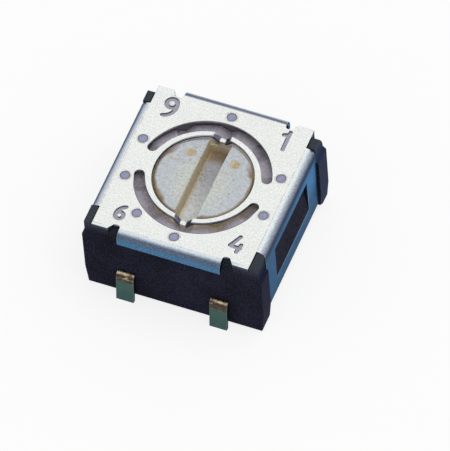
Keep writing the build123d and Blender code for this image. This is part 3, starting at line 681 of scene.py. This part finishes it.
@dataclass(frozen=True)
class MouldedNylon:
    """Pale grey nylon, satin as moulded.

    Its skin has a soft sheen and tiny dark specks. Painted amber shade lies on the slot's left wall,
    in the dimples, along the crease and round the rim; the slot's floor has painted light and shade.
    """

    name: str = "pale_moulded_nylon"
    body: str = "#b9bfc4"
    warm: str = "#c0c5c0"
    warm_y: float = -0.5            # middle of the warmer part of the knob
    warm_radius: Band = (2.2, 0.8)
    warmth: Band = (0.5, 1.3)       # of the clouds and the middle together
    # painted shade in warm amber: on the slot's left wall, deeper down, in the dimples and along the crease
    amber: Coat = Coat("#bda678")
    # painted shade round the knob's rim, deeper down and fading towards the pointer
    rim_painted_shade: Coat = Coat("#866f52")
    rim_shade_cover: Band = (0.75, 1.0)
    rim_width: Band = (0.1, 0.22)
    rim_widths: Band = (1.5, 0.4)   # inward from the rim
    rim_depth: Band = (0.6, 0.3)    # under the knob's top
    rim_end: Band = (1.9, 0.9)      # place along where the rim's painted shade starts
    shaded: Coat = Coat("#b9b3bf")  # flange under the cover
    flange: Band = (0.1, 0.2)       # distance past the knob
    # painted light: a pale amber in the shaded gap between knob and cover, which then shows a brown line
    gap_painted_light: Coat = Coat("#d2bf9a", 0.8)
    gap_inside: Band = (-0.03, 0.0)
    gap_outside: Band = (0.35, 0.2)
    gap_depth: Band = (0.02, 0.12)
    # painted light and shade on the slot's floor: lighter at the front, darker at the back, darkest at the
    # far end
    slot_floor_light: str = "#d3d6d6"
    slot_floor_shade: str = "#a8aab0"
    slot_end_shade: str = "#86755f"
    slot_half_width: float = 0.6
    slot_margin: float = 0.01
    slot_floor_z: float = 4.12
    floor_blur: float = 0.03
    over_floor: Band = (0.3, 0.02)  # heights where the floor's colour starts and is full
    slot_length: Band = (-1.8, 1.2)
    end_shade_length: Band = (1.5, 2.1)
    # painted light: the slot's floor lighter towards its right
    floor_light_side: Band = (-0.1, 0.5)
    brightness: Band = (1.0, 1.14)
    wall_shade_width: float = 0.22        # width of the painted shade along the slot's left wall
    wall_depth: Band = (-0.05, 0.6)
    wall_cover: Band = (0.3, 0.9)
    floor_cover: Band = (1.0, 0.65)
    dimple_x: float = 1.2
    dimple_y: float = 1.33
    dimple_reach: Band = (0.4, 0.06)
    crease_y: float = 0.66
    crease_width: float = 0.1
    crease_depth: Band = (0.2, 0.1)
    crease_cover: float = 0.6
    speck: Coat = Coat("#6d5a44", 0.7)
    specks: Grain = Grain(0.11, 1.0, patches=(0.66, 0.72))
    skin: Grain = Grain(0.14, 3.0)
    skin_depth: float = 0.26
    clouds: Grain = Grain(1.1)
    cloud_share: float = 0.8
    rim_patches: Grain = Grain(0.9, 1.0, patches=(0.42, 0.62))
    ragged: Grain = Grain(0.25, 3.0)
    ragged_reach: Band = (-0.08, 0.08)
    breaks: Grain = Grain(0.5, patches=(0.35, 0.6))
    stains: Grain = Grain(0.3, 3.0)
    stain_cover: Band = (0.5, 1.4)
    roughness: Band = (0.4, 0.6)
    relief: float = 0.004

    def sunk(self, surface: Surface) -> Socket:
        """Depth under the knob's top."""
        return surface.math("SUBTRACT", KNOB_TOP_Z, surface.z)

    def rim(self, surface: Surface) -> Socket:
        """Share of painted shade round the knob's rim, which thins out towards the pointer.

        Args:
            surface: the material being built.

        Returns:
            The share's socket.
        """
        patch = surface.patches(self.rim_patches)
        inward = surface.math("SUBTRACT", KNOB_RADIUS, surface.radius())
        widths = surface.math("DIVIDE", inward, surface.between(patch, *self.rim_width))
        return surface.both(
            surface.step(widths, *self.rim_widths), surface.step(surface.y, *self.rim_end),
            surface.step(self.sunk(surface), *self.rim_depth), surface.between(patch, *self.rim_shade_cover),
        )

    def warm_shade(self, surface: Surface) -> Socket:
        """Share of painted amber shade on the slot's left wall, in the dimples and along the crease.

        Args:
            surface: the material being built.

        Returns:
            The share's socket.
        """
        sunk = self.sunk(surface)
        ragged = surface.between(surface.noise(self.ragged), *self.ragged_reach)
        across = surface.math("ADD", surface.math("ADD", surface.x, self.slot_half_width), ragged)
        on_floor = surface.step(surface.z, self.slot_floor_z + self.floor_blur, self.slot_floor_z)
        wall = surface.both(
            surface.step(surface.math("ABSOLUTE", across), self.wall_shade_width, 0.0),
            surface.between(surface.step(sunk, *self.wall_depth), *self.wall_cover),
            surface.between(on_floor, *self.floor_cover),
        )
        from_crease = surface.math("ADD", surface.away(surface.y, self.crease_y), ragged)
        crease = surface.both(
            surface.step(from_crease, self.crease_width, 0.0), surface.step(sunk, *self.crease_depth),
            surface.patches(self.breaks), self.crease_cover,
        )
        dimples = [
            surface.math("ADD", surface.radius(side * self.dimple_x, self.dimple_y), ragged)
            for side in (-1, 1)
        ]
        spots = [surface.step(reach, *self.dimple_reach) for reach in dimples]
        patch = surface.between(surface.noise(self.stains), *self.stain_cover, clamp=True)
        return surface.both(surface.most(wall, crease, *spots), patch)

    def with_slot(self, surface: Surface, colour: Socket) -> Socket:
        """Add the slot's floor with painted light and shade: lighter at the front and towards its right,
        darker towards the back and darkest at the far end.

        Args:
            surface: the material being built.
            colour: the moulding's colour.

        Returns:
            The new colour's socket.
        """
        floor = surface.both(
            surface.step(surface.math("SUBTRACT", surface.z, self.slot_floor_z), *self.over_floor),
            surface.math("LESS_THAN", surface.reach_x, self.slot_half_width + self.slot_margin),
        )
        slot = surface.mix(surface.step(surface.y, *self.slot_length), self.slot_floor_light, self.slot_floor_shade)
        bright = surface.step(surface.x, *self.floor_light_side)
        slot = surface.scaled(slot, surface.between(bright, *self.brightness))
        slot = surface.mix(surface.step(surface.y, *self.end_shade_length), slot, self.slot_end_shade)
        return surface.mix(floor, colour, slot)

    def with_gap(self, surface: Surface, colour: Socket) -> Socket:
        """Add the flange's shade and painted light in the gap between knob and cover.

        Args:
            surface: the material being built.
            colour: the moulding's colour.

        Returns:
            The new colour's socket.
        """
        past_knob = surface.math("SUBTRACT", surface.radius(), KNOB_RADIUS)
        colour = surface.lay(self.shaded, colour, surface.step(past_knob, *self.flange))
        return surface.lay(
            self.gap_painted_light, colour, surface.step(past_knob, *self.gap_inside),
            surface.step(past_knob, *self.gap_outside), surface.step(self.sunk(surface), *self.gap_depth),
        )

    def material(self) -> bpy.types.Material:
        """Build the material.

        Returns:
            The finished material.
        """
        surface = Surface(self.name, {"IOR": 1.53, "Specular IOR Level": 0.3})
        clouds = surface.noise(self.clouds)
        near = surface.step(surface.radius(0.0, self.warm_y), *self.warm_radius)
        warmth = surface.math("MULTIPLY_ADD", clouds, self.cloud_share, near)
        colour = surface.mix(surface.step(warmth, *self.warmth), self.body, self.warm)
        # painted shade in warm amber on the slot's wall, the dimples and the crease
        colour = surface.lay(self.amber, self.with_slot(surface, colour), self.warm_shade(surface))
        # painted shade round the rim
        colour = surface.lay(self.rim_painted_shade, colour, self.rim(surface))
        colour = surface.lay(self.speck, self.with_gap(surface, colour), surface.patches(self.specks))
        skin = surface.noise(self.skin)
        colour = surface.shade(colour, surface.step(skin, *self.skin.patches), self.skin_depth)
        return surface.finish(colour, surface.between(clouds, *self.roughness), skin, self.relief)


@dataclass(frozen=True)
class NitrileRubber:
    """Black nitrile rubber, moulded: a dull dark ring with a faint bloom."""

    name: str = "black_nitrile_rubber"
    body: str = "#1b1b1c"
    bloom: str = "#35353a"
    blooming: Grain = Grain(0.25, 3.0, patches=(0.4, 0.75))
    roughness: Band = (0.55, 0.75)
    relief: float = 0.004

    def material(self) -> bpy.types.Material:
        """Build the material.

        Returns:
            The finished material.
        """
        surface = Surface(self.name, {"IOR": 1.52, "Specular IOR Level": 0.35})
        bloom = surface.noise(self.blooming)
        colour = surface.mix(surface.step(bloom, *self.blooming.patches), self.body, self.bloom)
        return surface.finish(colour, surface.between(bloom, *self.roughness), bloom, self.relief)


@dataclass(frozen=True)
class GoldPlatedStrip:
    """Gold-plated copper alloy strip: a warm yellow with fine rolling lines."""

    name: str = "gold_plated_strip"
    body: str = "#e2c27c"
    deep: str = "#c29a52"
    rolling: Grain = Grain(0.05, 2.0, (1.0, 0.08, 1.0), (0.35, 0.7))
    roughness: Band = (0.22, 0.37)
    relief: float = 0.001

    def material(self) -> bpy.types.Material:
        """Build the material.

        Returns:
            The finished material.
        """
        surface = Surface(self.name, {"Metallic": 1.0})
        lines = surface.noise(self.rolling)
        colour = surface.mix(surface.step(lines, *self.rolling.patches), self.body, self.deep)
        return surface.finish(colour, surface.between(lines, *self.roughness), lines, self.relief)


@dataclass(frozen=True)
class FlashedBronze:
    """Phosphor bronze strip with a thin gold flash, rolled, bent and stored.

    The bend carries a painted reflection: a pale highlight broken by dark patches, with a dark brown
    band below it, and the leg carries a painted green-teal reflection.
    """

    name: str = "gold_flashed_bronze"
    grazing: str = "#9fb0a8"        # tint of the metal seen at a flat angle
    # painted reflection on the leg: green-teal, deeper lower down
    bloom: str = "#4a625d"
    leg_reflection_low: str = "#455c5b"
    low: Band = (1.1, 0.3)          # heights where the leg's painted reflection deepens
    # painted highlight on the bend, laid in patches
    highlight_cream: str = "#d3c0a0"
    bright: Coat = Coat(highlight_cream, 0.6)
    highlight_breaks: Band = (0.42, 0.32)
    # painted reflection: dark patches in the bend's highlight
    dark_reflection: Coat = Coat("#3b302c", 0.75)
    dark_reflection_breaks: Band = (0.48, 0.6)
    # painted reflection on the bend: a dark band under the highlight, colours by how far a face has turned
    band: str = "#4b3f35"
    bend: Stops = (
        (0.0, "#5e564a"), (0.25, "#5e564a"), (0.4, band), (0.7, band), (0.82, "#9b8b74"),
        (0.92, highlight_cream), (0.985, "#c2b192"), (1.0, "#2c2723"),
    )
    rubbed: Coat = Coat("#8fa39b", 0.3)
    reflection_patches: Grain = Grain(0.2, 2.0, (0.7, 1.0, 2.0))
    mottle: Grain = Grain(0.35, 3.0)
    mottle_depth: float = 0.25
    rolled: Grain = Grain(0.12, 3.0)
    rolled_depth: float = 0.2
    bend_start: Band = (-0.2, -0.02)    # heights from the lead's top where the painted reflection of the bend starts
    bend_raggedness: float = 0.7
    roughness: Band = (0.26, 0.46)
    relief: float = 0.002

    def bend_reflection_colour(self, surface: Surface) -> Socket:
        """Painted reflection on the bend, with dark patches and patches of painted highlight.

        Args:
            surface: the material being built.

        Returns:
            The colour's socket.
        """
        reflection_patch = surface.noise(self.reflection_patches)
        bend = surface.by_turn(self.bend)
        bend = surface.lay(self.dark_reflection, bend, surface.step(reflection_patch, *self.dark_reflection_breaks))
        return surface.lay(self.bright, bend, surface.step(reflection_patch, *self.highlight_breaks))

    def material(self) -> bpy.types.Material:
        """Build the material.

        Returns:
            The finished material.
        """
        surface = Surface(self.name, {"Metallic": 1.0, "Specular Tint": linear(self.grazing)})
        # painted reflection on the leg
        leg = surface.mix(surface.step(surface.z, *self.low), self.bloom, self.leg_reflection_low)
        mottle = surface.noise(self.mottle)
        from_top = surface.math("SUBTRACT", surface.z, LEAD_TOP_Z)
        height = surface.math("MULTIPLY_ADD", mottle, self.bend_raggedness, from_top)
        colour = surface.mix(surface.step(height, *self.bend_start), leg, self.bend_reflection_colour(surface))
        grain = surface.noise(self.rolled)
        colour = surface.shade(colour, surface.step(grain, *self.rolled.patches), self.rolled_depth)
        colour = surface.shade(colour, mottle, self.mottle_depth)
        colour = surface.lay(self.rubbed, colour, surface.worn())
        return surface.finish(colour, surface.between(grain, *self.roughness), grain, self.relief)


@dataclass(frozen=True)
class Softening:
    """Rounding of a CAD node's sharp edges in its twin, in millimetres."""

    width: float
    shortest: float                 # edges shorter than this stay sharp
    segments: int = 2
    sharp_angle: float = 50.0       # degrees between faces that counts as an edge
    flat_angle: float = 0.6         # degrees within which triangles join into one face
    weld: float = 0.0008
    area_weight: int = 100          # how much large faces lead the shading, 50 being neutral

    def twin(self, node: str) -> bpy.types.Object:
        """Copy a node's mesh and round its sharp edges.

        Args:
            node: name of the CAD node.

        Returns:
            The new object, at the node's place, with the worn edges marked.
        """
        mesh = bpy.data.meshes.new(f"{node}_soft")
        form = bmesh.new()
        form.from_mesh(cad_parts[node].data)
        form.transform(Matrix.Scale(1 / MM, 4))
        bmesh.ops.remove_doubles(form, verts=form.verts, dist=self.weld)
        bmesh.ops.dissolve_limit(
            form, angle_limit=math.radians(self.flat_angle), verts=form.verts, edges=form.edges
        )
        self.round_edges(form)
        form.transform(Matrix.Scale(MM, 4))
        form.to_mesh(mesh)
        form.free()
        twin = bpy.data.objects.new(f"{node}_finished", mesh)
        bpy.context.scene.collection.objects.link(twin)
        even = twin.modifiers.new("even_normals", "WEIGHTED_NORMAL")
        even.keep_sharp = True
        even.weight = self.area_weight
        return twin

    def round_edges(self, form: bmesh.types.BMesh) -> None:
        """Bevel the sharp edges and shade the rest smooth.

        Args:
            form: the mesh, in millimetres.
        """
        worn = form.faces.layers.float.new(WORN)
        limit = math.radians(self.sharp_angle)
        sharp = [
            edge for edge in form.edges
            if edge.is_convex and edge.calc_face_angle(0) > limit and edge.calc_length() > self.shortest
        ]
        result = bmesh.ops.bevel(
            form, geom=sharp, offset=self.width, offset_type="OFFSET", segments=self.segments,
            profile=0.5, affect="EDGES", clamp_overlap=False, miter_outer="SHARP", loop_slide=False,
        )
        for face in form.faces:
            face.smooth = True
        for face in result["faces"]:
            face[worn] = 1.0
        for edge in form.edges:
            edge.smooth = len(edge.link_faces) == 2 and edge.calc_face_angle(0) < limit


def put_on(piece: bpy.types.Object, material: bpy.types.Material) -> None:
    """Give a piece one material.

    Args:
        piece: object to dress.
        material: its finish.
    """
    if not piece.data.materials:
        piece.data.materials.append(material)
    for slot in piece.material_slots:
        slot.material = material


def add_twin(
    node: str, softening: Softening, material: bpy.types.Material, side: Side
) -> bpy.types.Object:
    """Put a softened twin in a CAD node's place.

    Args:
        node: name of the CAD node.
        softening: how its edges are rounded.
        material: its finish.
        side: body that it moves with.

    Returns:
        The twin.
    """
    piece = softening.twin(node)
    put_on(piece, material)
    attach(piece, side.value)
    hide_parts(node)
    LOG.info("%s: %d faces, stands for %s", piece.name, len(piece.data.polygons), node)
    return piece


@dataclass
class Cover:
    """Sheet-metal cover, one stamping."""

    edge: float = 0.018
    shortest_edge: float = 0.02
    finish: RolledStainless = RolledStainless()

    def build(self) -> None:
        """Build and dress the cover."""
        softening = Softening(self.edge, self.shortest_edge)
        add_twin("cover", softening, self.finish.material(), Side.BODY)


@dataclass
class Housing:
    """Moulded housing."""

    edge: float = 0.03
    shortest_edge: float = 0.06
    finish: MouldedGlassFilled = MouldedGlassFilled()

    def build(self) -> None:
        """Build and dress the housing."""
        softening = Softening(self.edge, self.shortest_edge)
        add_twin("housing", softening, self.finish.material(), Side.BODY)


@dataclass
class Dial:
    """Rotor, seal ring and code disc, which turn together."""

    edge: float = 0.02
    shortest_edge: float = 0.2
    rotor_finish: MouldedNylon = MouldedNylon()
    seal_finish: NitrileRubber = NitrileRubber()
    disc_finish: GoldPlatedStrip = GoldPlatedStrip()

    def build(self) -> None:
        """Build and dress the dial's three pieces."""
        softening = Softening(self.edge, self.shortest_edge)
        add_twin("rotor", softening, self.rotor_finish.material(), Side.DIAL)
        for node, finish in (("seal_ring", self.seal_finish), ("code_disc", self.disc_finish)):
            put_on(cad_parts[node], finish.material())
            LOG.info("%s: CAD node with %s", node, finish.name)


@dataclass
class Terminals:
    """Five terminals with their leads and contact arms."""

    edge: float = 0.02
    shortest_edge: float = 0.02
    codes: tuple[str, ...] = ("1", "2", "4", "8", "common")
    finish: FlashedBronze = FlashedBronze()

    def build(self) -> None:
        """Build and dress the five terminals."""
        softening = Softening(self.edge, self.shortest_edge)
        material = self.finish.material()
        for code in self.codes:
            add_twin(f"terminal_{code}", softening, material, Side.BODY)


@dataclass
class Studio:
    """White sweep, soft light and the camera."""

    floor_size: float = 0.6             # metres
    floor_colour: str = "#f2f2f2"
    floor_roughness: float = 0.9
    floor_glow: float = 0.8             # share of the floor that is plain white, the rest keeps the shadow
    room_light: float = 0.62            # strength of the world on dull surfaces
    lamp_angle: float = 50.0            # apparent size of the softbox in degrees
    key_strength: float = 1.25
    key_from: tuple[float, float, float] = (0.35, 0.1, 1.0)
    focus_right: float = 1.109          # camera axis from the dial's centre, in millimetres
    focus_down: float = 2.461
    distance: float = 501.8
    nearest: float = 0.01               # metres in front of the lens where the view starts
    pixels_per_unit: float = 9961.0     # focal length in pixels
    right: tuple[float, float, float] = (0.9284, 0.3682, -0.0506)
    up: tuple[float, float, float] = (-0.2717, 0.7652, 0.5837)
    back: tuple[float, float, float] = (0.2536, -0.5281, 0.8104)

    def add_camera(self) -> None:
        """Place the camera where the photograph was taken from."""
        data = bpy.data.cameras.new("camera")
        camera = bpy.data.objects.new("camera", data)
        bpy.context.scene.collection.objects.link(camera)
        right, up, back = Vector(self.right), Vector(self.up), Vector(self.back)
        target = Vector((0, 0, TOP_Z)) + right * self.focus_right - up * self.focus_down
        place = (target + back * self.distance) * MM
        camera.matrix_world = Matrix.Translation(place) @ Matrix((right, up, back)).transposed().to_4x4()
        data.sensor_fit = "HORIZONTAL"
        data.lens = self.pixels_per_unit * data.sensor_width / IMAGE_WIDTH
        data.clip_start = self.nearest
        bpy.context.scene.camera = camera

    def white_to(self, tree: bpy.types.NodeTree) -> Socket:
        """Share that is 1 for the camera, reflections and clear views.

        Args:
            tree: node tree of the floor or the world.

        Returns:
            The share's socket.
        """
        path = add_node(tree, "ShaderNodeLightPath")
        share = path.outputs["Is Camera Ray"]
        for name in ("Is Glossy Ray", "Is Transmission Ray"):
            share = add_node(
                tree, "ShaderNodeMath", {0: share, 1: path.outputs[name]}, operation="MAXIMUM"
            ).outputs[0]
        return share

    def floor_material(self) -> bpy.types.Material:
        """Build a matte white that glows for the camera and keeps the object's shadow.

        Returns:
            The finished material.
        """
        material = bpy.data.materials.new("matte_white_sweep")
        material.use_nodes = True
        tree = material.node_tree
        shader = tree.nodes["Principled BSDF"]
        shader.inputs["Base Color"].default_value = linear(self.floor_colour)
        shader.inputs["Roughness"].default_value = self.floor_roughness
        shader.inputs["Specular IOR Level"].default_value = 0.0
        glow = add_node(tree, "ShaderNodeEmission", {"Strength": 1.0})
        share = add_node(
            tree, "ShaderNodeMath", {0: self.white_to(tree), 1: self.floor_glow}, operation="MULTIPLY"
        )
        mixed = add_node(
            tree, "ShaderNodeMixShader", {0: share.outputs[0], 1: shader.outputs[0], 2: glow.outputs[0]}
        )
        tree.links.new(mixed.outputs[0], tree.nodes["Material Output"].inputs["Surface"])
        return material

    def add_floor(self) -> None:
        """Lay a white floor."""
        half = self.floor_size / 2
        mesh = bpy.data.meshes.new("floor")
        corners = [(-half, -half, 0), (half, -half, 0), (half, half, 0), (-half, half, 0)]
        mesh.from_pydata(corners, [], [(0, 1, 2, 3)])
        floor = bpy.data.objects.new("floor", mesh)
        bpy.context.scene.collection.objects.link(floor)
        put_on(floor, self.floor_material())

    def add_world(self) -> None:
        """White room: seen as white, and a soft light on dull surfaces."""
        world = bpy.data.worlds.new("studio")
        world.use_nodes = True
        bpy.context.scene.world = world
        tree = world.node_tree
        strength = add_node(
            tree, "ShaderNodeMapRange", {"Value": self.white_to(tree), "To Min": self.room_light}
        )
        ground = tree.nodes["Background"]
        ground.inputs["Color"].default_value = linear("#ffffff")
        tree.links.new(strength.outputs["Result"], ground.inputs["Strength"])

    def add_key(self) -> None:
        """Hang one broad softbox above."""
        data = bpy.data.lights.new("softbox", "SUN")
        data.energy = self.key_strength
        data.angle = math.radians(self.lamp_angle)
        lamp = bpy.data.objects.new("softbox", data)
        bpy.context.scene.collection.objects.link(lamp)
        lamp.visible_glossy = False
        lamp.rotation_mode = "QUATERNION"
        lamp.rotation_quaternion = Vector(self.key_from).to_track_quat("Z", "Y")

    def build(self) -> None:
        """Set up camera, floor, world and lamp."""
        bpy.context.scene.view_settings.view_transform = "Standard"
        self.add_camera()
        self.add_floor()
        self.add_world()
        self.add_key()
        LOG.info("studio: floor, world, softbox and camera")


def main() -> None:
    """Dress the switch piece by piece and set the studio round it."""
    logging.basicConfig(level=logging.INFO, format="%(message)s")
    Studio().build()
    for assembly in (Housing(), Cover(), Dial(), Terminals()):
        assembly.build()


if __name__ == "__main__":
    main()
